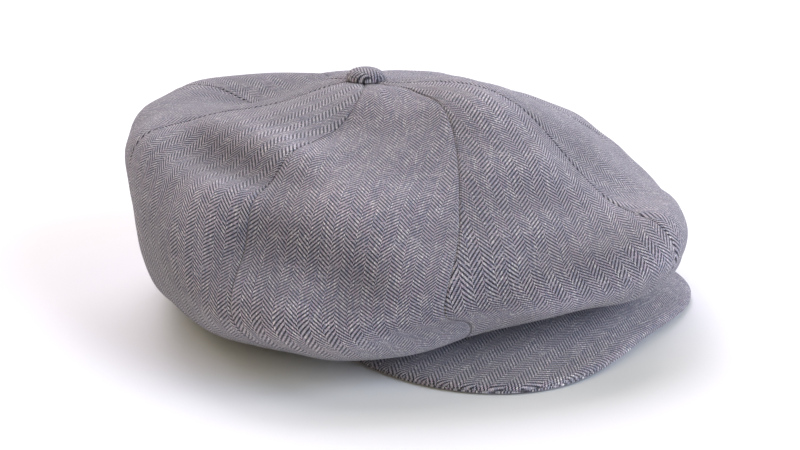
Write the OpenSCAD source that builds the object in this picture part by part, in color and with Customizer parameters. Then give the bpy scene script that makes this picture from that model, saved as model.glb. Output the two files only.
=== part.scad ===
// Newsboy cap: eight cloth panels and a button over a lined head opening, with a
// short stiff peak. Millimetres. The front of the cap is towards -Y, the wearer's
// right is -X and up is +Z. The origin is the centre of the head opening, on the
// plane that the back of the rim rests on.

/* [Head opening] */
// Width of the rim, ear to ear
opening_width = 174; // [165:1:200]
// Length of the rim, forehead to nape
opening_length = 199; // [185:1:230]
// How far the rim stands up at the forehead, where the peak props it
front_rise = 16; // [12:0.5:24]

/* [Crown] */
// Width of the crown at its widest
crown_width = 286; // [260:1:330]
// Reach of the crown in front of the origin
crown_front = 149; // [140:1:170]
// Reach of the crown behind the origin
crown_back = 129; // [120:1:150]
// Height of the crown at the button
crown_height = 104; // [90:1:125]
// Thickness of the wool cloth
cloth = 1.4; // [1:0.1:2]

/* [Lining] */
// Thickness of the lining satin
lining_cloth = 0.5; // [0.4:0.1:0.9]
// Space between the wool cloth and the lining, where the seam tapes lie
lining_gap = 2.2; // [2:0.1:3]
// Width of the tape over each crown seam
seam_tape_width = 8; // [6:0.5:12]
// Thickness of the seam tape
seam_tape = 0.5; // [0.3:0.1:0.7]

/* [Peak] */
// Length of the peak at its middle, beyond the rim
peak_length = 45; // [38:0.5:60]
// Extra fullness of the peak at its two corners, as a share of its length
peak_fullness = 0.49; // [0.2:0.01:0.6]
// Angle from the middle of the peak to each of its ends
peak_spread = 72; // [62:1:74]
// Height of the peak's middle layer above the table, at its tip
peak_tip_height = 5; // [4.5:0.1:9]
// Height of the peak's middle layer above the table, at its corners
peak_corner_height = 1.6; // [1.6:0.1:4]
// How far the peak arches between the rim and its edge
peak_arch = 3; // [1:0.5:4]
// Thickness of the board in the peak
board = 2; // [1.5:0.1:2.5]
// Thickness of the cloth on each side of the board
peak_cloth = 1.2; // [0.8:0.1:1.4]
// Gap between the peak and the crown's rim, which flex against each other
peak_gap = 0.4; // [0.3:0.05:0.8]

/* [Bands] */
// Height of the sweatband
band_height = 34; // [25:1:40]
// Thickness of the sweatband
band = 1.3; // [1:0.1:2]
// Height of the stiff tape behind the sweatband
tape_height = 22; // [15:1:24]
// Thickness of the stiff tape
tape = 1; // [0.6:0.1:1.4]
// Gap between the rim, the tape and the sweatband
band_gap = 0.3; // [0.2:0.05:0.6]

/* [Button] */
// Diameter of the covered button
button_diameter = 17; // [15:0.5:24]
// Height of the covered button
button_height = 4.5; // [3.5:0.5:7]
// Thickness of the cloth over the button
button_cloth = 0.9; // [0.6:0.1:1.2]
// Diameter of the thread that ties the button down
thread_diameter = 2; // [1.5:0.1:2.5]

/* [Labels] */
// Thickness of the satin patch under the crown
patch = 0.4; // [0.3:0.1:0.6]
// Width of the blank size tab on the sweatband
tab_width = 13; // [8:1:20]
// Height of the blank size tab
tab_height = 18; // [12:1:22]
// Thickness of the size tab
tab = 0.6; // [0.4:0.1:1]

/* [Hidden] */

panels = 8;
panel_angle = 360 / panels;

// Colours
wool = [0.47, 0.45, 0.49];
satin = [0.24, 0.24, 0.28];
ribbon = [0.16, 0.16, 0.18];
canvas = [0.86, 0.84, 0.78];
label_white = [0.88, 0.87, 0.84];
steel = [0.7, 0.7, 0.72];
board_grey = [0.62, 0.6, 0.56];

// The crown is a surface through six rings, from the rim to the button. Each ring is
// [half width, reach in front, reach behind, Y of its widest place, height in front,
// at the sides, behind, lift at the front diagonals, pull inwards there as a share].
rim_x = opening_width / 2;
rim_y = opening_length / 2;
wide_x = crown_width / 2;
overhang = wide_x - rim_x;
button_y = 12;
RINGS = [
    [rim_x, rim_y, rim_y, 0,
     front_rise, 0, 0, 0, 0],
    [rim_x + 0.65 * overhang, crown_front + 3, crown_back - 17, -17,
     front_rise + 0.146 * crown_height, 0.12 * crown_height, 0.13 * crown_height,
     0.04 * crown_height, 0.13],
    [wide_x, crown_front - 2, crown_back - 19, -12,
     front_rise + 0.39 * crown_height, 0.35 * crown_height, 0.47 * crown_height,
     -0.065 * crown_height, 0.13],
    [0.72 * wide_x, crown_front - 28, crown_back, 2,
     front_rise + 0.47 * crown_height, 0.73 * crown_height, 0.79 * crown_height, 0, 0],
    [0.25 * wide_x, crown_front - 83, crown_back - 72, -4,
     1.02 * crown_height, 0.965 * crown_height, 0.925 * crown_height, 0, 0],
    [0, -button_y, button_y, button_y,
     crown_height, crown_height, crown_height, 0, 0]];
last_ring = len(RINGS) - 1;
// The panels stop short of the centre, where the button's thread goes through
crown_end = 4.94;
// The cloth layers share these stations, so their facets nest
rows = 22;
panel_cols = 8;
STATIONS = [for (i = [0 : rows]) crown_end * i / rows];

// Depths under the outer face of the crown
tape_depth = cloth + 0.35;
lining_depth = cloth + lining_gap;
patch_depth = lining_depth + lining_cloth + 0.2;
// The lining starts against the cloth, just clear of the bands, and drops to its depth
// by the station where it is free
lining_start = 0.12;
lining_free = 0.6;
LINING_STATIONS = [for (s = STATIONS) max(s, lining_start)];
TAPE_STATIONS = [for (s = STATIONS) if (s > lining_free && s < 4.6) s];
PATCH_STATIONS = [for (s = STATIONS) if (s > 4.4) s];

// Insets from the rim
head_tape_inset = 1.2;
band_inset = head_tape_inset + tape + band_gap;
tab_inset = band_inset + band + 0.2;
band_turns = 72;
patch_turns = panels * panel_cols;

// Point on a ring. The angle runs from the front towards the wearer's right
function ring_point(r, angle) =
    let (ahead = cos(angle) > 0,
         reach = ahead ? r[1] + r[3] : r[2] - r[3],
         end_z = ahead ? r[4] : r[6],
         diagonal = ahead ? pow(sin(2 * angle), 2) : 0)
    [-r[0] * sin(angle),
     r[3] - reach * cos(angle) * (1 - r[8] * diagonal),
     r[5] + (end_z - r[5]) * pow(cos(angle), 2) + r[7] * diagonal];

// Ring before the rim and after the centre, so the curve has an end slope there
function lead_in(angle) = 2 * ring_point(RINGS[0], angle) - ring_point(RINGS[1], angle);
function lead_out(angle) =
    let (p = ring_point(RINGS[last_ring - 1], angle), c = ring_point(RINGS[last_ring], angle))
    [2 * c[0] - p[0], 2 * c[1] - p[1], p[2]];
function station(i, angle) =
    i < 0 ? lead_in(angle) : i > last_ring ? lead_out(angle) : ring_point(RINGS[i], angle);

// Outer face of the crown: a smooth curve through the rings, s = 0 at the rim
function crown_point(angle, s) =
    let (i = min(floor(s), last_ring - 1), t = s - i,
         a = station(i - 1, angle), b = station(i, angle),
         c = station(i + 1, angle), d = station(i + 2, angle))
    0.5 * (2 * b + (c - a) * t + (2 * a - 5 * b + 4 * c - d) * t * t
           + (3 * b - a - 3 * c + d) * t * t * t);
function unit(v) = v / norm(v);
function crown_normal(angle, s) =
    let (e = 0.01,
         up = crown_point(angle, s + e) - crown_point(angle, s - e),
         round = crown_point(angle + e, s) - crown_point(angle - e, s))
    unit(cross(up, round));
// Point at a depth under the outer face
function under(angle, s, depth) = crown_point(angle, s) - depth * crown_normal(angle, s);

// Closed solid between two grids of points. Both are lists of rows, and outer lies on
// the side that the rows and columns turn anticlockwise around.
function flat_list(grid) = [for (row = grid) for (p = row) p];
function two(a, b, c, d) = [[a, b, c], [a, c, d]];
module sheet(outer, inner) {
    rows = len(outer);
    cols = len(outer[0]);
    n = rows * cols;
    skin = [for (i = [0 : rows - 2]) for (j = [0 : cols - 2])
        let (a = i * cols + j)
        each concat(two(a, a + 1, a + cols + 1, a + cols),
                    two(n + a, n + a + cols, n + a + cols + 1, n + a + 1))];
    ends = [for (j = [0 : cols - 2])
        let (a = j, b = (rows - 1) * cols + j)
        each concat(two(a + 1, a, n + a, n + a + 1), two(b, b + 1, n + b + 1, n + b))];
    sides = [for (i = [0 : rows - 2])
        let (a = i * cols, b = a + cols - 1)
        each concat(two(a, a + cols, n + a + cols, n + a), two(b, n + b, n + b + cols, b + cols))];
    polyhedron(concat(flat_list(outer), flat_list(inner)), concat(skin, ends, sides));
}

// Closed band: the last column joins the first
module loop(outer, inner) {
    rows = len(outer);
    cols = len(outer[0]);
    n = rows * cols;
    skin = [for (i = [0 : rows - 2]) for (j = [0 : cols - 1])
        let (a = i * cols + j, b = i * cols + (j + 1) % cols)
        each concat(two(a, b, b + cols, a + cols), two(n + a, n + a + cols, n + b + cols, n + b))];
    ends = [for (j = [0 : cols - 1])
        let (a = j, b = (j + 1) % cols, top = (rows - 1) * cols)
        each concat(two(b, a, n + a, n + b), two(top + a, top + b, n + top + b, n + top + a))];
    polyhedron(concat(flat_list(outer), flat_list(inner)), concat(skin, ends));
}

// Closed sheet of one panel: full depth where the cloth is free, and less by the rim
module gore(k, stations, cols, depth, rim_depth, thickness) {
    from = (k - 1) * panel_angle;
    to = from + panel_angle;
    function drop(s) =
        let (t = min(1, max(0, (s - lining_start) / (lining_free - lining_start))))
        rim_depth + (depth - rim_depth) * t * t * (3 - 2 * t);
    function face(extra) =
        [for (s = stations) [for (j = [0 : cols])
            under(from + (to - from) * j / cols, s, drop(s) + extra)]];
    sheet(face(0), face(thickness));
}

module crown_panel(k) {
    color(wool) gore(k, STATIONS, panel_cols, 0, 0, cloth);
}

module lining_panel(k) {
    color(satin) gore(k, LINING_STATIONS, panel_cols, lining_depth, cloth + 0.1, lining_cloth);
}

// Tape along one seam: its half width is turned into an angle at each station
function tape_angle(angle, s) =
    let (p = crown_point(angle, s), step = norm(crown_point(angle + 1, s) - p))
    seam_tape_width / 2 / step;
function tape_grid(angle, depth) =
    [for (s = TAPE_STATIONS)
        let (half = tape_angle(angle, s))
        [for (side = [-1 : 1]) under(angle + side * half, s, depth)]];

module seam_tapes() {
    color(canvas)
        for (k = [0 : panels - 1])
            sheet(tape_grid(k * panel_angle, tape_depth),
                  tape_grid(k * panel_angle, tape_depth + seam_tape));
}

// Point on the rim's curve, moved in from it
function rim_point(angle, inset) =
    [-(rim_x - inset) * sin(angle), -(rim_y - inset) * cos(angle), rim_height(angle)];
function rim_height(angle) = cos(angle) > 0 ? front_rise * pow(cos(angle), 2) : 0;
function band_grid(inset, low, high, turns) =
    [for (z = [low, high]) [for (j = [0 : turns - 1])
        rim_point(j * 360 / turns, inset) + [0, 0, z]]];

module head_tape() {
    color(canvas)
        loop(band_grid(head_tape_inset, 0, tape_height, band_turns),
             band_grid(head_tape_inset + tape, 0, tape_height, band_turns));
}

module sweatband() {
    color(ribbon)
        loop(band_grid(band_inset, 0, band_height, band_turns),
             band_grid(band_inset + band, 0, band_height, band_turns));
}

module size_tab() {
    half_angle = tab_width / rim_x / 2 * 180 / PI;
    low = (band_height - tab_height) / 2;
    function face(inset) =
        [for (z = [low, low + tab_height]) [for (j = [-2 : 2])
            rim_point(180 + j * half_angle / 2, inset) + [0, 0, z]]];
    color(label_white)
        sheet(face(tab_inset), face(tab_inset + tab));
}

module label_patch() {
    function face(depth) =
        [for (s = PATCH_STATIONS) [for (j = [0 : patch_turns - 1])
            under(j * 360 / patch_turns, s, depth)]];
    color(label_white)
        loop(face(patch_depth), face(patch_depth + patch));
}

// Button: a domed metal core, the cloth over it and the thread that ties it down
button_r = button_diameter / 2;
button_z = crown_height + 0.4;
// Height of a dome at a distance from its middle
function dome(r, radius, height) = height * sqrt(max(0, 1 - pow(r / radius, 2.6)));

module button_dome(radius, height, base) {
    steps = 14;
    rotate_extrude($fn = 40)
        polygon(concat([[0, base]],
            [for (i = [steps : -1 : 0]) let (r = radius * sin(90 * i / steps))
                [r, base + dome(r, radius, height)]]));
}

module button_cover() {
    color(wool)
        translate([0, button_y, button_z])
            difference() {
                button_dome(button_r, button_height, 0);
                button_dome(button_r - button_cloth, button_height - button_cloth, -0.01);
            }
}

module button_core() {
    color(steel)
        translate([0, button_y, button_z])
            button_dome(button_r - button_cloth - 0.1, button_height - button_cloth - 0.1, 0);
}

module button_thread() {
    length = patch_depth + patch + 2.5;
    color(canvas)
        translate([0, button_y, button_z - length])
            cylinder(h = length, d = thread_diameter, $fn = 24);
    color(canvas)
        translate([0, button_y, button_z - length - 1.2])
            cylinder(h = 1.2, d = 3 * thread_diameter, $fn = 32);
}

// Peak. q runs from -1 at one end to 1 at the other, and v from the rim to the edge
peak_half = board / 2 + peak_cloth;
end_width = 4;
function end_taper(q) = 1 - 0.8 * pow(abs(q), 6);
function peak_reach(q) =
    (peak_length - end_width) * (1 - pow(abs(q), 2.55))
    * (1 + peak_fullness * pow(sin(2 * q * peak_spread), 2));
// Height of the peak's edge: it dips to its corners, then meets the rim at its ends
function root_height(q) =
    rim_height(q * peak_spread) - peak_gap - peak_half * end_taper(q);
function edge_height(q) =
    let (a = abs(q))
    a < 0.5
        ? peak_tip_height + (peak_corner_height - peak_tip_height) * pow(sin(180 * a), 2)
        : peak_corner_height + (root_height(1) - peak_corner_height) * pow(2 * a - 1, 2);
function peak_point(q, v) =
    let (angle = q * peak_spread, reach = (peak_reach(q) + end_width) * v,
         root = rim_point(angle, 0))
    [root[0] - reach * sin(angle), root[1] - reach * cos(angle),
     root_height(q) * (1 - v) + edge_height(q) * v
         + peak_arch * sin(180 * v) * (1 - pow(abs(q), 4))];
// The layers close on each other at the edge, where the two cloths are seamed
function edge_close(v) =
    v < close_start ? 1 : sqrt(max(0, 1 - pow((v - close_start) / (1 - close_start), 2)));
PEAK_ROWS = [0, 0.2, 0.4, 0.6, 0.78, 0.88, 0.93, 0.965, 1];
peak_columns = 36;
close_start = 0.85;
board_ends = 0.965;
// Share of its thickness that the peak keeps at its edge
edge_share = 0.45;
function cover_face(lift) =
    [for (v = PEAK_ROWS) [for (j = [0 : peak_columns])
        let (q = 2 * j / peak_columns - 1)
        peak_point(q, v) + [0, 0, lift * end_taper(q) * (edge_share + (1 - edge_share) * edge_close(v))]]];
function cover_lining(lift) =
    [for (v = PEAK_ROWS) [for (j = [0 : peak_columns])
        let (q = 2 * j / peak_columns - 1)
        peak_point(q, v) + [0, 0, lift * end_taper(q) * (v > board_ends ? 0 : 1)
                                  + sign(lift) * 0.02]]];
BOARD_ROWS = [for (v = PEAK_ROWS) if (v <= board_ends) v];
function board_face(lift) =
    [for (v = BOARD_ROWS) [for (j = [0 : peak_columns])
        let (q = 2 * j / peak_columns - 1)
        peak_point(q, min(v, 0.95)) + [0, 0, lift * end_taper(q)]]];

module peak_top_cloth() {
    color(wool)
        sheet(cover_face(peak_half), cover_lining(board / 2));
}

module peak_board() {
    color(board_grey)
        sheet(board_face(board / 2), board_face(-board / 2));
}

module peak_under_cloth() {
    color(wool)
        sheet(cover_lining(-board / 2), cover_face(-peak_half));
}

for (k = [1 : panels]) {
    crown_panel(k);
    lining_panel(k);
}
seam_tapes();
head_tape();
sweatband();
size_tab();
label_patch();
button_cover();
button_core();
button_thread();
peak_top_cloth();
peak_board();
peak_under_cloth();
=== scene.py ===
# %% [markdown]
# # A newsboy cap in herringbone wool
# The cap is soft, so almost nothing on it is flat or straight: eight curved cloth panels
# meet under a button, a stiff peak is sewn to the front of the head opening, and a lining
# hangs inside. This file builds each piece round a fixed frame that gives the sizes. Every
# cell makes one piece or one finish, and prints what it made.

# %% Load the frame
import math

import bmesh
import bpy
import numpy as np
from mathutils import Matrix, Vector


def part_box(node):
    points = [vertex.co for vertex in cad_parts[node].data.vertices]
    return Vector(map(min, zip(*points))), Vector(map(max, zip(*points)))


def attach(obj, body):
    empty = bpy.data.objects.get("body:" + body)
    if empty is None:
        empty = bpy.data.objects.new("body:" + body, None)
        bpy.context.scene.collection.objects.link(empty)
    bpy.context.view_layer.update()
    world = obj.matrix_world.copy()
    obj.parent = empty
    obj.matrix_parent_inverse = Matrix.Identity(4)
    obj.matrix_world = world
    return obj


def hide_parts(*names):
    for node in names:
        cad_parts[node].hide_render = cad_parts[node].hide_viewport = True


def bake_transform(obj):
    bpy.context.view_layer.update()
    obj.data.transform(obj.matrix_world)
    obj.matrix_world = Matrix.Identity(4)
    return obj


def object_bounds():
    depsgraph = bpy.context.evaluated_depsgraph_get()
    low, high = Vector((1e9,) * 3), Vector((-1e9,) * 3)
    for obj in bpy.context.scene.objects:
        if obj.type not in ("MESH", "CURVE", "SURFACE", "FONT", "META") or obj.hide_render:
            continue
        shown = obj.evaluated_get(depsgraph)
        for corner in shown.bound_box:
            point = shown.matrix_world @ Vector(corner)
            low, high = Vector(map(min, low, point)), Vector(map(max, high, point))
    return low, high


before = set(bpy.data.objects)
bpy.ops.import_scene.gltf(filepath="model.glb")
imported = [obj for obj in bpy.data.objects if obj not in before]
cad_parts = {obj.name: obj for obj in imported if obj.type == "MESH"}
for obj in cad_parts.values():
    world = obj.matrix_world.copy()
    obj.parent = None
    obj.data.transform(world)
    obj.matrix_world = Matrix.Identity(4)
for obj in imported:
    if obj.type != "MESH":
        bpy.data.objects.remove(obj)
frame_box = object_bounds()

# %% [markdown]
# ## Sizes
# The frame holds the real sizes, so the few lengths that the cloth needs are read from
# the boxes of its parts. Only what the boxes can't tell is named here: thicknesses, and how
# the outline swells between the rim and the button. Blender counts in metres, so MM turns a
# length in millimetres into one.

# %% Sizes read from the frame
MM = 0.001
PANELS = 8
WOOL = 1.4 * MM
SATIN = 0.5 * MM
LINING_DEPTH = 3.6 * MM
SEAM_TAPE = 0.5 * MM
SEAM_TAPE_DEPTH = 1.75 * MM
SEAM_TAPE_WIDTH = 8 * MM
TAPE = 1.0 * MM
TAPE_HEIGHT = 22 * MM
TAPE_INSET = 1.2 * MM
BAND = 1.3 * MM
BAND_INSET = 2.5 * MM
BAND_HEIGHT = 34 * MM

tape_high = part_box("head_tape")[1]
rim_x = tape_high.x + TAPE_INSET
rim_y = tape_high.y + TAPE_INSET
front_rise = tape_high.z - TAPE_HEIGHT
panel_boxes = [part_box(f"crown_panel_{k + 1}") for k in range(PANELS)]
# The curve through the rings swells a little past them, so that much comes off the boxes
wide_x = max(high.x for low, high in panel_boxes) - 0.1 * MM
crown_front = -min(low.y for low, high in panel_boxes) - 6.3 * MM
crown_back = max(high.y for low, high in panel_boxes) - 1.5 * MM
button_low, button_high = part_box("button_core")
button_y = (button_low.y + button_high.y) / 2
crown_height = button_low.z - 0.4 * MM
print(f"rim {2 * rim_x:.3f} x {2 * rim_y:.3f} m,",
      f"crown {2 * wide_x:.3f} m wide, {crown_height:.3f} m high")

# %% [markdown]
# ## The camera, the floor and the light
# The camera comes first, because every choice of detail depends on what it shows. It is a
# long lens from a metre away, a little above the cap and off its front right corner. The
# light is that of a white studio: soft pale lamps above and behind, a cool one low on the
# right that reaches the peak, and weak warm ones that fill the left and the top.

# %% Camera
VIEW_AZIMUTH = math.radians(57.8)
VIEW_ELEVATION = math.radians(20.7)
VIEW_DISTANCE = 0.963
LENS = 87.1
FRAME_WIDTH = 0.036
TARGET = Vector((0, -0.0104, 0))

away = Vector((-math.sin(VIEW_AZIMUTH) * math.cos(VIEW_ELEVATION),
               -math.cos(VIEW_AZIMUTH) * math.cos(VIEW_ELEVATION),
               math.sin(VIEW_ELEVATION)))
across = Vector((math.cos(VIEW_AZIMUTH), -math.sin(VIEW_AZIMUTH), 0))
upward = away.cross(across)
camera_data = bpy.data.cameras.new("camera")
camera_data.lens = LENS
camera_data.sensor_width = FRAME_WIDTH * 1000
camera = bpy.data.objects.new("camera", camera_data)
bpy.context.scene.collection.objects.link(camera)
camera.location = TARGET + away * VIEW_DISTANCE
aim = TARGET - across * 0.0022 + upward * 0.0316
camera.rotation_mode = "QUATERNION"
camera.rotation_quaternion = (aim - camera.location).to_track_quat("-Z", "Y")
bpy.context.scene.camera = camera
print("camera at", [round(value, 3) for value in camera.location])

# %% Helpers for objects
def link(name, mesh):
    """A new object that shows mesh."""
    made = bpy.data.objects.new(name, mesh)
    bpy.context.scene.collection.objects.link(made)
    return made


def smooth(mesh):
    """Shade every face of the mesh smooth."""
    mesh.polygons.foreach_set("use_smooth", [True] * len(mesh.polygons))
    mesh.update()


# %% Floor and lights
FLOOR_SIZE = 12
floor_mesh = bpy.data.meshes.new("floor")
half_floor = FLOOR_SIZE / 2
floor_mesh.from_pydata([(-half_floor, -half_floor, 0), (half_floor, -half_floor, 0),
                        (half_floor, half_floor, 0), (-half_floor, half_floor, 0)],
                       [], [(0, 1, 2, 3)])
floor = link("floor", floor_mesh)
floor.location.z = frame_box[0].z - 0.2 * MM

def sun_light(name, towards, strength, spread, colour):
    """A distant lamp that shines the same everywhere, so the floor stays even."""
    data = bpy.data.lights.new(name, "SUN")
    data.energy = strength
    data.angle = math.radians(spread)
    data.color = colour
    lamp = bpy.data.objects.new(name, data)
    bpy.context.scene.collection.objects.link(lamp)
    lamp.rotation_mode = "QUATERNION"
    lamp.rotation_quaternion = Vector(towards).to_track_quat("-Z", "Y")
    return lamp


SOFT_SPREAD = 50
PALE = (0.95, 0.9, 1.0)
COOL = (0.7, 0.8, 1.0)
WARM = (1.0, 0.9, 0.6)
level = Vector((away.x, away.y, 0)).normalized()
# Each lamp: where its light comes from, as shares to the right, towards the camera and up,
# then its strength and colour
LAMPS = {"rear_left_light": (-0.6, -0.6, 1.0, 1.4, PALE),
         "rear_light": (0, -1.0, 0.7, 2.7, PALE),
         "low_right_light": (1.0, 0.4, 0.5, 2.8, COOL),
         "high_right_light": (1.0, -0.3, 1.0, 0.6, WARM),
         "left_light": (-0.7, 0.8, 0.7, 0.8, WARM)}
for name, (right_share, near_share, up_share, strength, colour) in LAMPS.items():
    source = across * right_share + level * near_share + Vector((0, 0, up_share))
    sun_light(name, -source, strength, SOFT_SPREAD, colour)
world = bpy.data.worlds.new("studio")
bpy.context.scene.world = world
world.use_nodes = True
world.node_tree.nodes["Background"].inputs["Color"].default_value = (1, 0.98, 0.98, 1)
world.node_tree.nodes["Background"].inputs["Strength"].default_value = 0.04
bpy.context.scene.view_settings.view_transform = "Standard"

# %% [markdown]
# ## Shader sums in plain Python
# A woven pattern is arithmetic: divide by the yarn's pitch, take the whole part, compare.
# Wiring that by hand takes dozens of Math nodes, so a small class wraps a socket and lets
# +, -, * and / add the nodes. Its reflected forms make 1 - mask work too. Colours go
# through Mix nodes, because a Math node would turn them grey.

# %% Sockets that add up
class Wire:
    """One output socket of a shader, with the operators that add Math nodes after it."""

    def __init__(self, book, socket):
        self.book = book
        self.socket = socket

    def sum(self, operation, *values):
        """A Math node on this wire and up to two more values."""
        return self.book.node("Math", {"operation": operation},
                              {i: value for i, value in enumerate((self,) + values)})

    def __add__(self, other):
        return self.sum("ADD", other)

    def __sub__(self, other):
        return self.sum("SUBTRACT", other)

    def __rsub__(self, other):
        return self.book.node("Math", {"operation": "SUBTRACT"}, {0: other, 1: self})

    def __mul__(self, other):
        return self.sum("MULTIPLY", other)

    def __truediv__(self, other):
        return self.sum("DIVIDE", other)

    __radd__ = __add__
    __rmul__ = __mul__

    def floor(self):
        return self.sum("FLOOR")

    def fraction(self):
        return self.sum("FRACT")

    def wrap(self, length):
        return self.sum("FLOORED_MODULO", length)

    def below(self, limit):
        return self.sum("LESS_THAN", limit)

    def smaller(self, other):
        return self.sum("MINIMUM", other)

    def power(self, exponent):
        return self.sum("POWER", exponent)


class Book:
    """A material and the node tree that its finish is written in."""

    def __init__(self, name):
        self.material = bpy.data.materials.new(name)
        self.material.use_nodes = True
        self.tree = self.material.node_tree
        self.shader = self.tree.nodes["Principled BSDF"]

    def node(self, kind, settings=None, values=None, output=0):
        """Add a node of any kind: its settings first, then the values or wires of its sockets."""
        made = self.tree.nodes.new("ShaderNode" + kind)
        for key, value in (settings or {}).items():
            setattr(made, key, value)
        for key, value in (values or {}).items():
            self.plug(made.inputs[key], value)
        return Wire(self, made.outputs[output])

    def plug(self, socket, value):
        if isinstance(value, Wire):
            self.tree.links.new(value.socket, socket)
        else:
            socket.default_value = value

    def mix(self, factor, low, high, blend="MIX"):
        """A colour between two colours."""
        return self.node("Mix", {"data_type": "RGBA", "blend_type": blend},
                         {0: factor, 6: low, 7: high}, output=2)

    def spread(self, value, low, high, to_low=0.0, to_high=1.0):
        """A value carried from one range to another, and held inside it."""
        return self.node("MapRange", {"clamp": True},
                         {0: value, 1: low, 2: high, 3: to_low, 4: to_high})

    def speckle(self, place, scale, detail=2.0, roughness=0.5):
        """Smooth noise from 0 to 1."""
        return self.node("TexNoise", {"noise_dimensions": "3D"},
                         {"Vector": place, "Scale": scale, "Detail": detail, "Roughness": roughness})

    def vector(self, x, y, z=0.0):
        return self.node("CombineXYZ", {}, {0: x, 1: y, 2: z})

    def axes(self, place):
        """The x, y and z of a place."""
        made = self.tree.nodes.new("ShaderNodeSeparateXYZ")
        self.plug(made.inputs[0], place)
        return [Wire(self, output) for output in made.outputs]

    def tint(self, colour, shade):
        """A colour made lighter or darker."""
        return self.node("VectorMath", {"operation": "SCALE"}, {0: colour, "Scale": shade})

    def random(self, place):
        """A fixed random number for each place."""
        return self.node("TexWhiteNoise", {"noise_dimensions": "3D"}, {"Vector": place})

    def finish(self, **sockets):
        """Set sockets of the shader by name, with spaces written as underscores."""
        for key, value in sockets.items():
            self.plug(self.shader.inputs[key.replace("_", " ")], value)
        return self.material

    def bump(self, height, distance, strength=1.0):
        return self.node("Bump", {}, {"Height": height, "Distance": distance, "Strength": strength})


# %% [markdown]
# ## Herringbone tweed
# Tweed is a 2/2 twill: each yarn passes over two and under two, and the step moves one yarn
# over on each row, so the floats make diagonal lines. In herringbone the diagonal turns
# round every few yarns. The shader counts yarns across and along the cloth, works out
# which one is on top at each crossing, and gives the light warp and the dark weft their own
# colours. The flecks of mauve, blue and cream come from fixed random numbers for each
# stretch of yarn, because real tweed is spun from dyed fibres of several colours.

# %% Tweed
YARN = 0.54 * MM
PICK = 0.46 * MM
YARNS_PER_WALE = 10
FLOAT_LENGTH = 2
CLOTH_UV = "cloth"
PAINTED_SHADING_ATTRIBUTE = "relief"


def tweed(name):
    book = Book(name)
    u, v = book.axes(book.node("UVMap", {"uv_map": CLOTH_UV}))[:2]
    wander = book.speckle(book.vector(u * 60, v * 60, 0.3), 1.0, 1.0)
    across_yarns = u / YARN + (wander - 0.5) * 0.9
    along_yarns = v / PICK + (book.speckle(book.vector(u * 45, v * 45, 7.1), 1.0, 1.0) - 0.5) * 1.6
    end = across_yarns.floor()
    pick = along_yarns.floor()
    in_end = across_yarns.fraction()
    in_pick = along_yarns.fraction()
    # Count of this yarn inside the repeat, up one wale and down the next
    place_in_repeat = end.wrap(2 * YARNS_PER_WALE)
    turned = (2 * YARNS_PER_WALE - 1) - place_in_repeat
    going_down = turned.below(YARNS_PER_WALE - 0.5)
    step = place_in_repeat.smaller(turned) + going_down * FLOAT_LENGTH
    warp_up = (pick + step).wrap(2 * FLOAT_LENGTH).below(FLOAT_LENGTH - 0.5)
    weft_up = 1 - warp_up

    # Round back of the yarn that is on top
    warp_round = 1 - (in_end * 2 - 1).power(2)
    weft_round = 1 - (in_pick * 2 - 1).power(2)
    round_back = warp_round * warp_up + weft_round * weft_up

    # One random number for a stretch of each yarn, and one for the fibres in it
    warp_stretch = book.random(book.vector(end, (along_yarns / 7 + end * 0.37).floor(), 1))
    weft_stretch = book.random(book.vector((across_yarns / 7 + pick * 0.61).floor(), pick, 2))
    yarn_number = warp_stretch * warp_up + weft_stretch * weft_up
    warp_fibre = book.speckle(book.vector(u * 5200, v * 1300, 0), 1.0, 2.0)
    weft_fibre = book.speckle(book.vector(u * 1300, v * 5200, 4), 1.0, 2.0)
    fibre = warp_fibre * warp_up + weft_fibre * weft_up
    cloud = book.speckle(book.vector(u * 40, v * 40, 3), 1.0, 3.0)

    ramp = [(0.0, (0.52, 0.47, 0.52, 1)), (0.30, (0.43, 0.41, 0.47, 1)), (0.50, (0.60, 0.55, 0.58, 1)),
            (0.66, (0.36, 0.35, 0.44, 1)), (0.80, (0.50, 0.41, 0.49, 1)), (0.93, (0.78, 0.74, 0.74, 1))]
    light = colour_ramp(book, yarn_number, ramp)
    ramp = [(0.0, (0.050, 0.046, 0.058, 1)), (0.35, (0.085, 0.076, 0.096, 1)),
            (0.60, (0.055, 0.058, 0.085, 1)), (0.82, (0.13, 0.10, 0.13, 1)),
            (0.95, (0.30, 0.27, 0.30, 1))]
    dark = colour_ramp(book, yarn_number, ramp)
    yarn = book.mix(warp_up, dark, light)
    # Painted shade: each yarn is darker towards its edges by its round back; the fibre noise is its own
    # tone
    shade = book.spread(fibre, 0.25, 0.75, 0.55, 1.35) * book.spread(round_back, 0, 1, 0.55, 1.08)
    shade = shade * book.spread(cloud, 0.3, 0.7, 0.90, 1.10)
    # Painted shade and light: the cloth is darker in the creases and paler on the rolls, by how far it
    # stands proud
    relief = book.node("Attribute", {"attribute_name": PAINTED_SHADING_ATTRIBUTE}, {}, output=2)
    shade = shade * (relief * 0.16 + 1)
    colour = book.tint(yarn, shade)
    height = round_back * 0.8 + fibre * 0.5
    return book.finish(Base_Color=colour, Roughness=0.92, Sheen_Weight=0.35, Sheen_Roughness=0.45,
                       Specular_IOR_Level=0.2, Normal=book.bump(height, 0.35 * MM, 0.7))


def colour_ramp(book, value, stops):
    """A colour for each range of a value, without blending between them."""
    made = book.tree.nodes.new("ShaderNodeValToRGB")
    made.color_ramp.interpolation = "CONSTANT"
    elements = made.color_ramp.elements
    elements[0].position, elements[0].color = stops[0]
    elements[1].position, elements[1].color = stops[-1]
    for position, colour in stops[1:-1]:
        elements.new(position).color = colour
    book.plug(made.inputs[0], value)
    return Wire(book, made.outputs[0])


TWEED = tweed("herringbone_wool")
print("tweed nodes:", len(TWEED.node_tree.nodes))

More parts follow.
